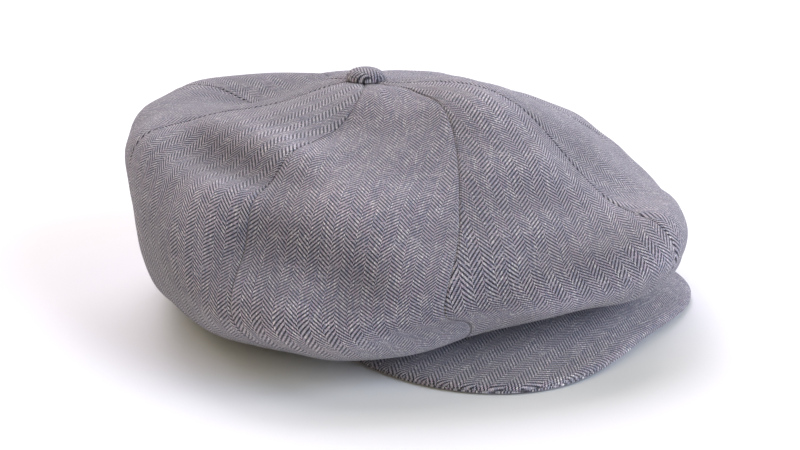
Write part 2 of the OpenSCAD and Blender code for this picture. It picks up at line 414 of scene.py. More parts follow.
# %% [markdown]
# ## The other finishes
# Satin has long floats that lie flat, so it takes a soft streaky shine. The sweatband is a
# ribbed ribbon, the tapes are plain-woven cotton, and the labels are blank ribbon. All of
# them read the cloth's own coordinates, so their weave follows the piece when it bends.

# %% Plain-woven and satin finishes
def woven(name, colour, pitch, contrast, roughness, sheen, relief, ribs=0.0):
    """A plain weave, or with ribs a ribbon whose ribs run across it."""
    book = Book(name)
    u, v = [axis / pitch for axis in book.axes(book.node("UVMap", {"uv_map": CLOTH_UV}))[:2]]
    over = ((u.floor() + v.floor()).wrap(2)).below(0.5)
    round_u = 1 - (u.fraction() * 2 - 1).power(2)
    round_v = 1 - (v.fraction() * 2 - 1).power(2)
    back = round_u * over + round_v * (1 - over)
    rib = 1 - ((u / 2).fraction() * 2 - 1).power(2)
    height = rib * ribs + back * (1 - ribs)
    fibre = book.speckle(book.vector(u * 0.9, v * 0.25), 1.0, 3.0)
    # Painted shade: darker in the grooves between yarns and ribs, by their height; the fibre noise is
    # its own tone
    shade = book.spread(height * 0.7 + fibre * 0.5, 0.2, 1.0, 1 - contrast, 1 + contrast)
    tint = book.tint(colour, shade)
    rough = book.spread(fibre, 0.3, 0.7, roughness - 0.06, roughness + 0.06)
    return book.finish(Base_Color=tint, Roughness=rough, Sheen_Weight=sheen,
                       Normal=book.bump(height, relief, 0.6))


def satin(name, colour):
    """Long floats along the cloth: streaks of shine that break up across it."""
    book = Book(name)
    u, v = book.axes(book.node("UVMap", {"uv_map": CLOTH_UV}))[:2]
    streak = book.speckle(book.vector(u * 5000, v * 220), 1.0, 3.0)
    slub = book.speckle(book.vector(u * 700, v * 35, 5), 1.0, 2.0)
    shade = book.spread(streak * 0.6 + slub * 0.4, 0.3, 0.7, 0.75, 1.25)
    tint = book.tint(colour, shade)
    rough = book.spread(streak, 0.3, 0.7, 0.28, 0.46)
    return book.finish(Base_Color=tint, Roughness=rough, Sheen_Weight=0.2,
                       Normal=book.bump(streak * 0.5 + slub * 0.5, 0.08 * MM, 0.5))


LINING_SATIN = satin("lining_satin", (0.075, 0.075, 0.095))
LABEL_RIBBON = satin("label_ribbon", (0.62, 0.60, 0.56))
BAND_RIBBON = woven("sweatband_ribbon", (0.030, 0.030, 0.034), 0.45 * MM, 0.35, 0.62, 0.25,
                    0.2 * MM, 0.8)
CANVAS = woven("canvas_tape", (0.60, 0.57, 0.50), 0.5 * MM, 0.22, 0.85, 0.15, 0.15 * MM)


def thread_finish(name, colour):
    """Twisted thread: fine slanting plies."""
    book = Book(name)
    place = book.node("TexCoord", {}, {}, output=3)
    x, y, z = book.axes(place)
    ply = ((x + y + z * 1.4) / (0.45 * MM)).fraction()
    back = 1 - (ply * 2 - 1).power(2)
    # Painted shade: darker between the plies, by their round backs
    tint = book.tint(colour, book.spread(back, 0, 1, 0.6, 1.15))
    return book.finish(Base_Color=tint, Roughness=0.6, Normal=book.bump(back, 0.1 * MM, 0.5))


def mottled(name, colour, scale, contrast, metallic, roughness, relief):
    """A hard surface with fine mottling, for metal and board."""
    book = Book(name)
    place = book.node("TexCoord", {}, {}, output=3)
    grain = book.speckle(place, scale, 4.0, 0.6)
    tint = book.tint(colour, book.spread(grain, 0.3, 0.7, 1 - contrast, 1 + contrast))
    rough = book.spread(grain, 0.3, 0.7, roughness - 0.08, roughness + 0.08)
    return book.finish(Base_Color=tint, Roughness=rough, Metallic=metallic,
                       Normal=book.bump(grain, relief, 0.4))


DARK_THREAD = thread_finish("dark_thread", (0.10, 0.10, 0.115))
PALE_THREAD = thread_finish("pale_thread", (0.55, 0.53, 0.50))
BUTTON_METAL = mottled("button_metal", (0.62, 0.62, 0.64), 900, 0.12, 1.0, 0.38, 0.05 * MM)
PEAK_BOARD = mottled("peak_board", (0.30, 0.28, 0.25), 1400, 0.25, 0.0, 0.75, 0.1 * MM)
FLOOR_PAPER = mottled("floor_paper", (0.90, 0.90, 0.90), 30, 0.004, 0.0, 0.9, 0.01 * MM)
floor.data.materials.append(FLOOR_PAPER)
print("finishes:", len(bpy.data.materials))

# %% [markdown]
# ## The form of the crown
# Eight panels could be drawn one by one, but they have to meet exactly at their seams. So
# the whole crown is one formula instead: an angle round the head and a station up the cloth
# give a point. Six rings hold the outline from the rim to the button, and a smooth curve
# runs up through them. Every layer, wool, tape and lining, is cut from this one surface.

# %% The crown's smooth form
overhang = wide_x - rim_x
# Half width, reach in front, reach behind, Y of the widest place, height in front, at the
# sides, behind, then lift and pull inwards at the front diagonals
RINGS = np.array([
    [rim_x, rim_y, rim_y, 0,
     front_rise, 0, 0, 0, 0],
    [rim_x + 0.65 * overhang, crown_front + 3 * MM, crown_back - 17 * MM, -17 * MM,
     front_rise + 0.146 * crown_height, 0.12 * crown_height, 0.13 * crown_height,
     0.04 * crown_height, 0.13],
    [wide_x, crown_front - 2 * MM, crown_back - 19 * MM, -12 * MM,
     front_rise + 0.39 * crown_height, 0.35 * crown_height, 0.47 * crown_height,
     -0.065 * crown_height, 0.13],
    [0.72 * wide_x, crown_front - 28 * MM, crown_back, 2 * MM,
     front_rise + 0.47 * crown_height, 0.73 * crown_height, 0.79 * crown_height, 0, 0],
    [0.25 * wide_x, crown_front - 83 * MM, crown_back - 72 * MM, -4 * MM,
     1.02 * crown_height, 0.965 * crown_height, 0.925 * crown_height, 0, 0],
    [0, -button_y, button_y, button_y,
     crown_height, crown_height, crown_height, 0, 0]])
LAST_RING = len(RINGS) - 1
CROWN_END = 4.94
LINING_START = 0.12
LINING_FREE = 0.6
PANEL_ANGLE = 2 * math.pi / PANELS


def ring_point(ring, angle):
    """A point on a ring. The angle is 0 in front and grows towards the wearer's right."""
    ahead = np.cos(angle)
    reach = np.where(ahead > 0, ring[1] + ring[3], ring[2] - ring[3])
    end_z = np.where(ahead > 0, ring[4], ring[6])
    diagonal = np.where(ahead > 0, np.sin(2 * angle) ** 2, 0)
    return np.stack([-ring[0] * np.sin(angle), ring[3] - reach * ahead * (1 - ring[8] * diagonal),
                     ring[5] + (end_z - ring[5]) * ahead ** 2 + ring[7] * diagonal], -1)


def crown_point(angle, station):
    """Points on the smooth outer face. Station 0 is the rim and 5 is the button."""
    angle, station = np.broadcast_arrays(np.asarray(angle, float), np.asarray(station, float))
    rings = [ring_point(ring, angle) for ring in RINGS]
    beyond = 2 * rings[-1] - rings[-2]
    beyond[..., 2] = rings[-2][..., 2]
    rings = np.stack([2 * rings[0] - rings[1]] + rings + [beyond])
    first = np.clip(np.floor(station).astype(int), 0, LAST_RING - 1)
    t = (station - first)[..., None]
    where = tuple(np.indices(angle.shape))
    a, b, c, d = [rings[(first + i,) + where] for i in range(4)]
    return 0.5 * (2 * b + (c - a) * t + (2 * a - 5 * b + 4 * c - d) * t ** 2
                  + (3 * b - a - 3 * c + d) * t ** 3)


def unit(vectors):
    return vectors / np.linalg.norm(vectors, axis=-1, keepdims=True)


def crown_normal(angle, station):
    step = 0.002
    up = crown_point(angle, station + step) - crown_point(angle, station - step)
    round_ = crown_point(angle + step, station) - crown_point(angle - step, station)
    return unit(np.cross(up, round_))


top_point = crown_point(0.0, CROWN_END)
print("crown form: rings", len(RINGS), "top point", [round(float(v), 3) for v in top_point])

# %% [markdown]
# ## Folds
# A cap that is kept in its shape still has soft hollows and rolls, where the cloth has
# more length than it needs. A cloth simulation gives folds, but never the ones wanted. Here
# each crease is a short path over the crown with a width and a depth, and a roll of cloth
# stands up on each side of it. Slow waves fill in the rest. All layers share this one
# height, so that the lining never comes through the wool.

# %% Waves and creases
def waves(places, length, seed):
    """Smooth noise from -1 to 1: a dozen sine waves in fixed random directions."""
    rng = np.random.default_rng(seed)
    count = 12
    ways = unit(rng.normal(size=(count, 3)))
    lengths = length * rng.uniform(0.7, 1.5, count)
    phases = rng.uniform(0, 2 * math.pi, count)
    total = sum(np.sin(places @ way * (2 * math.pi / wide) + phase)
                for way, wide, phase in zip(ways, lengths, phases))
    return total / math.sqrt(count / 2) / 2


# Each crease: its path as (degrees, station), half width, depth, and the roll above and
# below it, in millimetres
CREASES = [
    ([(140, 3.32), (127, 3.25), (112, 3.22), (98, 3.18), (86, 3.10), (72, 2.98)], 11, 5.6, 3.6, 0.6),
    ([(112, 2.15), (100, 2.45), (88, 2.62), (78, 2.55), (66, 2.42), (54, 2.24), (42, 2.12)],
     18, 6.2, 2.4, 2.2),
    ([(66, 1.75), (56, 1.6), (44, 1.45), (30, 1.35)], 14, 3.0, 1.4, 1.4),
    ([(128, 1.9), (116, 1.8), (104, 1.75), (94, 1.85)], 15, 3.6, 1.8, 1.6),
    ([(38, 3.4), (28, 3.2), (16, 3.1), (4, 3.1)], 14, 3.0, 2.2, 0.8),
    ([(34, 2.6), (22, 2.35), (8, 2.2), (-4, 2.2)], 14, 3.0, 1.8, 1.0),
    ([(26, 1.0), (12, 1.1), (-2, 1.15), (-12, 1.25), (-24, 1.3), (-38, 1.25)], 9, 3.6, 1.6, 1.6),
    ([(62, 3.9), (76, 3.75), (92, 3.8), (108, 3.95)], 15, 1.6, 1.4, 1.0),
    ([(160, 3.9), (176, 3.7), (194, 3.75), (210, 3.95)], 16, 1.8, 1.4, 1.0),
    ([(150, 2.3), (166, 2.15), (182, 2.2), (198, 2.4)], 17, 3.8, 1.8, 1.6),
    ([(-46, 2.4), (-60, 2.5), (-76, 2.6), (-92, 2.5)], 17, 4.4, 2.0, 1.6),
    ([(-78, 3.2), (-94, 3.25), (-110, 3.3), (-126, 3.35)], 12, 4.2, 2.6, 1.0),
    ([(-100, 1.8), (-114, 1.85), (-130, 1.9)], 15, 1.8, 1.4, 1.0),
    ([(-20, 3.3), (-34, 3.2), (-48, 3.35)], 16, 1.4, 1.2, 0.8)]


# Broad swells and dents: (degrees, station), radius and height in millimetres
SWELLS = [((168, 3.75), 34, -4.0), ((182, 3.7), 28, -3.6), ((212, 3.9), 34, -3.0),
          ((202, 4.45), 15, 2.6), ((140, 3.1), 22, 2.0), ((74, 4.35), 17, 2.4),
          ((52, 4.3), 12, -1.6), ((30, 4.2), 20, 2.0),
          ((100, 2.95), 20, 1.6), ((2, 2.4), 26, 2.2), ((-60, 4.2), 22, 1.6), ((-150, 3.2), 30, -1.5)]


def crease_height(places, stations, path, half_width, depth, above, below):
    """Height that one crease adds: a valley on its path and a roll along each side."""
    turns, levels = np.array(path, float).T
    along = np.linspace(0, 1, 120)
    knots = np.linspace(0, 1, len(path))
    path_stations = np.interp(along, knots, levels)
    line = crown_point(np.radians(np.interp(along, knots, turns)), path_stations)
    width = half_width * MM
    low = line.min(axis=0) - 4 * width
    high = line.max(axis=0) + 4 * width
    close = np.all((places > low) & (places < high), axis=1)
    gaps = np.linalg.norm(places[close][:, None, :] - line[None, :, :], axis=2)
    nearest = gaps.argmin(axis=1)
    side = np.tanh((stations[close] - path_stations[nearest]) / 0.06)
    offset = gaps.min(axis=1) * side / width
    fade = np.sin(math.pi * along[nearest]) ** 1.3
    shape = (-depth * np.exp(-offset ** 2) + above * np.exp(-(offset - 1.7) ** 2 / 1.2)
             + below * np.exp(-(offset + 1.7) ** 2 / 1.2))
    height = np.zeros(len(places))
    height[close] = shape * fade * MM
    return height


# The folds are worked out once, on a grid of angles and stations
FOLD_TURNS = 300
FOLD_LEVELS = 130
fold_angle, fold_station = np.meshgrid(np.arange(FOLD_TURNS) * 2 * math.pi / FOLD_TURNS,
                                       np.linspace(0, LAST_RING, FOLD_LEVELS))
fold_places = crown_point(fold_angle, fold_station).reshape(-1, 3)
REST_DEPTH = 0.9 * MM
fold_grid = (-REST_DEPTH + 1.3 * MM * waves(fold_places, 0.080, 11)
             + 0.6 * MM * waves(fold_places, 0.032, 12))
for crease in CREASES:
    fold_grid = fold_grid + crease_height(fold_places, fold_station.ravel(), *crease)
for (turn, level), radius, height in SWELLS:
    middle = crown_point(math.radians(turn), level)
    gap = np.sum((fold_places - middle) ** 2, axis=1)
    fold_grid = fold_grid + height * MM * np.exp(-gap / (radius * MM) ** 2)
calm = np.clip((fold_station - 0.1) / 0.6, 0, 1) * np.clip((4.85 - fold_station) / 0.5, 0, 1)
fold_grid = fold_grid.reshape(fold_station.shape) * calm * calm * (3 - 2 * calm)


def spline_weights(t):
    """Shares of four neighbours in a smooth spline."""
    return [(1 - t) ** 3 / 6, (3 * t ** 3 - 6 * t ** 2 + 4) / 6,
            (-3 * t ** 3 + 3 * t ** 2 + 3 * t + 1) / 6, t ** 3 / 6]


def read_folds(angle, station):
    """The fold grid at any angle and station."""
    turn = (angle / (2 * math.pi)) % 1 * FOLD_TURNS
    level = np.clip(station / LAST_RING, 0, 1) * (FOLD_LEVELS - 1)
    column = np.floor(turn).astype(int)
    row = np.minimum(np.floor(level).astype(int), FOLD_LEVELS - 2)
    total = 0
    for i, across_share in enumerate(spline_weights(turn - column)):
        for j, up_share in enumerate(spline_weights(level - row)):
            known = fold_grid[np.clip(row + j - 1, 0, FOLD_LEVELS - 1),
                              (column + i - 1) % FOLD_TURNS]
            total = total + across_share * up_share * known
    return total


def fold_height(angle, station):
    """How far the cloth stands off its smooth form, the same for every layer."""
    share = (angle / PANEL_ANGLE) % 1
    free = np.clip(station / 0.7, 0, 1) * np.clip((LAST_RING - station) / 1.2, 0, 1)
    return read_folds(angle, station) + 0.9 * MM * np.sin(math.pi * share) * free


print(f"folds: {1000 * fold_grid.min():.1f} to {1000 * fold_grid.max():.1f} mm")
print("creases:", len(CREASES))

# %% Helpers for cloth
def grid_object(name, points, uv, material, closed=False):
    """A smooth mesh over a grid of points, with its cloth coordinates in metres."""
    rows, columns = points.shape[:2]
    row, column = np.meshgrid(np.arange(rows - 1), np.arange(columns - 1), indexing="ij")
    a = (row * columns + column).ravel()
    corners = np.stack([a, a + columns, a + columns + 1, a + 1], -1)
    mesh = bpy.data.meshes.new(name)
    mesh.from_pydata(points.reshape(-1, 3).tolist(), [], corners.tolist())
    layer = mesh.uv_layers.new(name=CLOTH_UV)
    layer.data.foreach_set("uv", uv.reshape(-1, 2)[corners.ravel()].ravel())
    if closed:
        shell = bmesh.new()
        shell.from_mesh(mesh)
        bmesh.ops.remove_doubles(shell, verts=shell.verts, dist=0.01 * MM)
        shell.to_mesh(mesh)
        shell.free()
    mesh.materials.append(material)
    smooth(mesh)
    return link(name, mesh)


def mark_painted_shading(piece, values):
    """Write how much each point stands proud, which the tweed turns into painted shade in the hollows
    and painted light on the rolls.
    """
    layer = piece.data.attributes.new(PAINTED_SHADING_ATTRIBUTE, "FLOAT", "POINT")
    layer.data.foreach_set("value", values)


def settle(piece):
    """Turn a piece's modifiers into plain mesh."""
    done = piece.evaluated_get(bpy.context.evaluated_depsgraph_get())
    plain = bpy.data.meshes.new_from_object(done, preserve_all_data_layers=True,
                                            depsgraph=bpy.context.evaluated_depsgraph_get())
    piece.modifiers.clear()
    piece.data = plain
    return piece


def thicken(piece, thickness):
    """Give a sheet its thickness, inwards from the face that shows."""
    shell = piece.modifiers.new("thickness", "SOLIDIFY")
    shell.thickness = thickness
    shell.offset = -1
    return settle(piece)


def lengths(points, axis):
    """Distance run along one way of a grid, starting at 0."""
    steps = np.linalg.norm(np.diff(points, axis=axis), axis=2)
    first = np.zeros_like(np.take(steps, [0], axis=axis))
    return np.cumsum(np.concatenate([first, steps], axis=axis), axis=axis)


def area_of(points):
    """Area of a grid of points, from the diagonals of its cells."""
    one = points[1:, 1:] - points[:-1, :-1]
    other = points[1:, :-1] - points[:-1, 1:]
    return float(np.linalg.norm(np.cross(one, other), axis=2).sum() / 2)


def declare_sheet(width, length, area):
    """Take the smaller of the area and the width times the length; the result is not kept."""
    min(area, width * length)


# %% [markdown]
# ## The eight wool panels
# Each panel is a leaf of cloth, broad in the middle and narrow at both ends. It is a grid
# with its columns packed closer near the seams, where the cloth dives inwards and the
# stitches pull small puckers. The cloth coordinates count metres from the panel's centre
# line, so the herringbone runs straight up the middle of each panel and meets its
# neighbour at an angle, as cut cloth does.

# %% Wool panels
PANEL_ROWS = 200
PANEL_COLUMNS = 80
CLUSTER = 0.75
CROSSING_PANELS = (1, 2, 7, 8)


def hold_panel(piece, number):
    """The four front panels, which meet the peak, are baked into place; the others ride with the crown.
    """
    if number in CROSSING_PANELS:
        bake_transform(piece)
    else:
        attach(piece, "crown")


def panel_grid(number, rows, columns, start):
    """Angles, stations and shares across of one panel, closer together near its seams."""
    even = np.linspace(0, 1, columns + 1)
    share = even - CLUSTER * np.sin(2 * math.pi * even) / (2 * math.pi)
    angle = (number - 1 + share) * PANEL_ANGLE
    station = np.linspace(start, CROWN_END, rows + 1)
    return np.broadcast_arrays(angle[None, :], station[:, None], share[None, :])


def cloth_uv(points, number):
    """Cloth coordinates of a panel: across from its centre line, and up along it."""
    middle = points.shape[1] // 2
    across_cloth = lengths(points, 1)
    across_cloth = across_cloth - across_cloth[:, middle:middle + 1]
    up_cloth = np.broadcast_to(lengths(points, 0)[:, middle:middle + 1], across_cloth.shape)
    return np.stack([across_cloth + number * 0.0371, up_cloth + number * 0.0173], -1)


def seam_dip(points, share):
    """How the wool turns down into its seams, with small puckers along them."""
    run = lengths(points, 1)
    to_seam = np.minimum(run, run[:, -1:] - run)
    up_cloth = lengths(points, 0)
    flat_places = points.reshape(-1, 3)
    pucker = waves(flat_places, 0.0075, 21).reshape(share.shape)
    dip = 0.6 * np.exp(-(to_seam / (0.6 * MM)) ** 2) + 0.15 * np.exp(-(to_seam / (3.5 * MM)) ** 2)
    lift = 0.16 * pucker * np.exp(-((to_seam - 2.5 * MM) / (3.0 * MM)) ** 2)
    return (lift - dip) * MM, up_cloth


for number in range(1, PANELS + 1):
    angle, station, share = panel_grid(number, PANEL_ROWS, PANEL_COLUMNS, 0.0)
    smooth_points = crown_point(angle, station)
    normals = crown_normal(angle, station)
    dip, up_cloth = seam_dip(smooth_points, share)
    height = fold_height(angle, station) + dip
    points = smooth_points + normals * height[..., None]
    piece = grid_object(f"wool_panel_{number}", points, cloth_uv(smooth_points, number), TWEED)
    # Painted shade and light: fold height that darkens the tweed's creases and lightens its rolls
    relief = np.clip(read_folds(angle, station) / (2.6 * MM) + 0.2, -1, 1).ravel()
    mark_painted_shading(piece, relief)
    thicken(piece, WOOL)
    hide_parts(f"crown_panel_{number}")
    widest = lengths(points, 1)[:, -1].max()
    longest = up_cloth[:, PANEL_COLUMNS // 2].max()
    declare_sheet(widest, longest, area_of(points))
    hold_panel(piece, number)

# %% [markdown]
# ## The lining and the seam tapes
# Inside the wool hangs a lining of eight satin panels of the same cut, a few millimetres
# further in. It is looser than the wool, so it gets shallow wrinkles of its own, inwards
# only. A cotton tape covers the seam allowances on each wool seam. Both follow the same
# surface and the same folds.

# %% Lining panels
LINING_ROWS = 110
LINING_COLUMNS = 36


def lining_drop(station):
    """Depth of the lining under the outer face: against the wool by the rim, free above."""
    t = np.clip((station - LINING_START) / (LINING_FREE - LINING_START), 0, 1)
    near_rim = WOOL + 0.1 * MM
    return near_rim + (LINING_DEPTH - near_rim) * t * t * (3 - 2 * t)


for number in range(1, PANELS + 1):
    angle, station, share = panel_grid(number, LINING_ROWS, LINING_COLUMNS, LINING_START)
    smooth_points = crown_point(angle, station)
    normals = crown_normal(angle, station)
    flat_places = smooth_points.reshape(-1, 3)
    wrinkle = np.clip(waves(flat_places, 0.022, 31) + 0.2, 0, 1).reshape(share.shape)
    free = np.clip((station - LINING_FREE) / 0.5, 0, 1) * np.clip((4.3 - station) / 0.5, 0, 1)
    run = lengths(smooth_points, 1)
    to_seam = np.minimum(run, run[:, -1:] - run)
    seam = 0.5 * MM * np.exp(-(to_seam / (1.4 * MM)) ** 2)
    depth = lining_drop(station) + 1.6 * MM * wrinkle * free * np.sin(math.pi * share) - seam * free
    points = smooth_points + normals * (fold_height(angle, station) - depth)[..., None]
    piece = grid_object(f"satin_panel_{number}", points, cloth_uv(smooth_points, number), LINING_SATIN)
    thicken(piece, SATIN)
    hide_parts(f"lining_panel_{number}")
    widest = run[:, -1].max()
    longest = lengths(points, 0)[:, LINING_COLUMNS // 2].max()
    declare_sheet(widest, longest, area_of(points))
    hold_panel(piece, number)
print(f"lining panels: {PANELS}, the last {widest:.3f} x {longest:.3f} m")

# %% Seam tapes
def join(name, parts):
    """Join objects into the first of them, under one name."""
    joined = bmesh.new()
    for part in parts:
        joined.from_mesh(part.data)
    mesh = parts[0].data.copy()
    joined.to_mesh(mesh)
    joined.free()
    for part in parts:
        bpy.data.objects.remove(part)
    return link(name, mesh)


strips = []
tape_run = 0.0
for seam_number in range(PANELS):
    station = np.linspace(LINING_FREE + 0.06, 4.55, 121)[:, None]
    centre = crown_point(seam_number * PANEL_ANGLE, station)
    beside = crown_point(seam_number * PANEL_ANGLE + 0.01, station)
    half_turn = SEAM_TAPE_WIDTH / 2 * 0.01 / np.linalg.norm(beside - centre, axis=2)
    angle = seam_number * PANEL_ANGLE + half_turn * np.linspace(-1, 1, 7)[None, :]
    angle, station = np.broadcast_arrays(angle, station)
    points = crown_point(angle, station) + crown_normal(angle, station) * (
        fold_height(angle, station) - SEAM_TAPE_DEPTH)[..., None]
    run = lengths(points, 0)
    tape_run += float(run[-1, 3])
    uv = np.stack([lengths(points, 1), run], -1)
    strips.append(grid_object(f"strip_{seam_number}", points, uv, CANVAS))
seam_tapes = join("seam_tape_strips", strips)
thicken(seam_tapes, SEAM_TAPE)
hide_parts("seam_tapes")
declare_sheet(SEAM_TAPE_WIDTH * PANELS, tape_run / PANELS, 1.0)
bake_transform(seam_tapes)
print(f"seam tapes: {PANELS} strips, {tape_run:.2f} m in all")

# %% [markdown]
# ## The peak
# The peak is a board between two cloths. Its plan is a crescent: it reaches forward from
# the rim, keeps its depth well round to the corners, and ends in a point on each side. It
# arches between the rim and its edge, and the edge dips at the corners. The cloth wraps the
# board's edge, so both faces roll over in a quarter round and meet in a seam.

# %% The peak's form
PEAK_SPREAD = math.radians(72)
PEAK_LENGTH = 45 * MM
PEAK_END = 4 * MM
PEAK_FULLNESS = 0.49
PEAK_TIP = 5 * MM
PEAK_CORNER = 1.6 * MM
PEAK_ARCH = 3 * MM
PEAK_GAP = 0.4 * MM
PEAK_HALF = 2.2 * MM
PEAK_CLOTH = 1.1 * MM


def rim_height(angle):
    return front_rise * np.clip(np.cos(angle), 0, 1) ** 2


def rim_point(angle, inset):
    """A point on the rim's curve, moved in from it."""
    return np.stack([-(rim_x - inset) * np.sin(angle), -(rim_y - inset) * np.cos(angle),
                     rim_height(angle)], -1)


def end_taper(q):
    return 1 - 0.8 * np.abs(q) ** 6


def peak_reach(q):
    full = 1 + PEAK_FULLNESS * np.sin(2 * q * PEAK_SPREAD) ** 2
    return (PEAK_LENGTH - PEAK_END) * (1 - np.abs(q) ** 2.55) * full + PEAK_END


def root_height(q):
    return rim_height(q * PEAK_SPREAD) - PEAK_GAP - PEAK_HALF * end_taper(q)


def edge_height(q):
    to_corner = PEAK_TIP + (PEAK_CORNER - PEAK_TIP) * np.sin(math.pi * np.abs(q)) ** 2
    to_end = PEAK_CORNER + (root_height(1.0) - PEAK_CORNER) * (2 * np.abs(q) - 1) ** 2
    return np.where(np.abs(q) < 0.5, to_corner, to_end)


def peak_point(q, v):
    """Middle of the peak: q runs from end to end, -1 to 1, and v from the rim to the edge."""
    angle = q * PEAK_SPREAD
    reach = peak_reach(q) * v
    root = rim_point(angle, 0)
    height = (root_height(q) * (1 - v) + edge_height(q) * v
              + PEAK_ARCH * np.sin(math.pi * np.clip(v, 0, 1)) * (1 - q ** 4))
    return np.stack([root[..., 0] - reach * np.sin(angle), root[..., 1] - reach * np.cos(angle),
                     height], -1)


PEAK_COLUMNS = 260
PEAK_ROWS = 46
ROLL_ROWS = 12


def peak_face(side):
    """Grid of one face of the peak: flat rows, then a quarter round down to the edge seam."""
    q = np.linspace(-1, 1, PEAK_COLUMNS + 1)[None, :]
    flat_rows = np.linspace(0, 1, PEAK_ROWS + 1)[:, None]
    turn = np.linspace(0, math.pi / 2, ROLL_ROWS + 1)[1:, None]
    reach = peak_reach(q)
    roll = np.minimum(3.4 * MM, 0.45 * reach)
    out_flat = flat_rows * (reach - roll)
    out_roll = (reach - roll) + roll * np.sin(turn)
    tuck = 0.5 * MM * np.exp(-((math.pi / 2 - turn) / 0.22) ** 2)
    out = np.concatenate([out_flat, out_roll - tuck])
    rise = np.concatenate([np.ones_like(out_flat), np.cos(turn) * np.ones_like(q)])
    q = np.broadcast_to(q, out.shape)
    points = peak_point(q, out / reach)
    slow = waves(points.reshape(-1, 3), 0.05, 41).reshape(q.shape)
    puff = 0.35 * MM * slow * np.sin(math.pi * np.clip(out / reach, 0, 1))
    points[..., 2] += side * (PEAK_HALF - 0.02 * MM) * end_taper(q) * rise + puff * rise
    return points


def peak_piece(name, side, node):
    points = peak_face(side)
    uv = np.stack([-points[..., 1] * 1.02 + 0.004 * side, points[..., 0] * 1.0], -1)
    uv[..., 0] += 0.9 * np.abs(points[..., 0]) ** 2
    if side > 0:
        points = points[:, ::-1]
        uv = uv[:, ::-1]
    piece = grid_object(name, points, uv, TWEED)
    # Painted light: the whole peak gets the palest value, so its cloth is lighter all over against the
    # crown's shade
    mark_painted_shading(piece, [1.0] * len(piece.data.vertices))
    thicken(piece, PEAK_CLOTH)
    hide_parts(node)
    span = float(np.ptp(points[..., 0]))
    deep = float(np.ptp(points[..., 1]))
    declare_sheet(span, deep, area_of(points))
    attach(piece, "peak")
    print(name, f"{span:.3f} x {deep:.3f} m")
    return piece


peak_top = peak_piece("peak_top", 1, "peak_top_cloth")
peak_under = peak_piece("peak_under", -1, "peak_under_cloth")

# %% [markdown]
# ## Geometry Nodes for bands and stitches
# A band and a row of stitches both follow a path, so a node tree makes each of them. One
# small class adds the nodes, as the material class does, and run() feeds a path in, sets
# the tree's inputs by their identifiers and turns the result into plain mesh.

# %% A small class for node trees
class Tree:
    """A Geometry Nodes tree with named inputs."""

    def __init__(self, name, inputs):
        self.tree = bpy.data.node_groups.new(name, "GeometryNodeTree")
        face = self.tree.interface
        face.new_socket("Geometry", in_out="INPUT", socket_type="NodeSocketGeometry")
        self.names = {}
        for key, kind in inputs.items():
            socket = face.new_socket(key, in_out="INPUT", socket_type="NodeSocket" + kind)
            self.names[key] = socket.identifier
        face.new_socket("Geometry", in_out="OUTPUT", socket_type="NodeSocketGeometry")
        self.start = self.tree.nodes.new("NodeGroupInput")
        self.end = self.tree.nodes.new("NodeGroupOutput")

    def given(self, key="Geometry"):
        return self.start.outputs[key]

    def node(self, kind, settings=None, values=None, output=0):
        """Add a node: its settings first, then the values or links of its sockets."""
        made = self.tree.nodes.new(kind)
        for key, value in (settings or {}).items():
            setattr(made, key, value)
        for key, value in (values or {}).items():
            if isinstance(value, bpy.types.NodeSocket):
                self.tree.links.new(value, made.inputs[key])
            else:
                made.inputs[key].default_value = value
        return made.outputs[output]

    def done(self, socket):
        """End the tree: real geometry with the finish that it was given."""
        whole = self.node("GeometryNodeRealizeInstances", {}, {0: socket})
        finished = self.node("GeometryNodeSetMaterial", {},
                             {0: whole, "Material": self.given("Finish")})
        self.tree.links.new(finished, self.end.inputs[0])
        return self

    def run(self, name, path, **values):
        """Plain mesh that the tree makes from a path."""
        piece = link(name, path)
        maker = piece.modifiers.new("maker", "NODES")
        maker.node_group = self.tree
        for key, value in values.items():
            maker[self.names[key]] = value
        settle(piece)
        smooth(piece.data)
        return piece


def path_mesh(name, chains, closed=False):
    """A mesh of edges only, one chain for each list of points, with the length run so far."""
    mesh = bpy.data.meshes.new(name)
    places = [tuple(map(float, point)) for chain in chains for point in chain]
    edges = []
    run = []
    base = 0
    for chain in chains:
        count = len(chain)
        edges += [(base + i, base + i + 1) for i in range(count - 1)]
        if closed:
            edges.append((base + count - 1, base))
        steps = np.linalg.norm(np.diff(np.array(chain), axis=0), axis=1)
        run += [0.0] + np.cumsum(steps).tolist()
        base += count
    mesh.from_pydata(places, edges, [])
    mesh.attributes.new("run", "FLOAT", "POINT").data.foreach_set("value", run)
    return mesh


def band_tree():
    """A flat band swept along a path, standing up, with cloth coordinates."""
    tree = Tree("band", {"Height": "Float", "Thickness": "Float", "Finish": "Material"})
    curve = tree.node("GeometryNodeMeshToCurve", {}, {0: tree.given()})
    curve = tree.node("GeometryNodeSetCurveNormal", {"mode": "Z_UP"}, {0: curve})
    outline = tree.node("GeometryNodeCurvePrimitiveQuadrilateral", {},
                        {0: tree.given("Thickness"), 1: tree.given("Height")})
    outline = tree.node("GeometryNodeFilletCurve", {"mode": "POLY"},
                        {"Curve": outline, "Radius": 0.35 * MM, "Count": 3})
    outline = tree.node("GeometryNodeResampleCurve", {"mode": "LENGTH"},
                        {"Curve": outline, "Length": 1.2 * MM})
    swept = tree.node("GeometryNodeCurveToMesh", {}, {0: curve, 1: outline, "Fill Caps": True})
    run = tree.node("GeometryNodeInputNamedAttribute", {"data_type": "FLOAT"}, {"Name": "run"})
    place = tree.node("GeometryNodeInputPosition")
    height = tree.node("ShaderNodeSeparateXYZ", {}, {0: place}, output=2)
    uv = tree.node("ShaderNodeCombineXYZ", {}, {0: run, 1: height})
    marked = tree.node("GeometryNodeStoreNamedAttribute", {"data_type": "FLOAT2", "domain": "CORNER"},
                       {0: swept, "Name": CLOTH_UV, "Value": uv})
    return tree.done(marked)


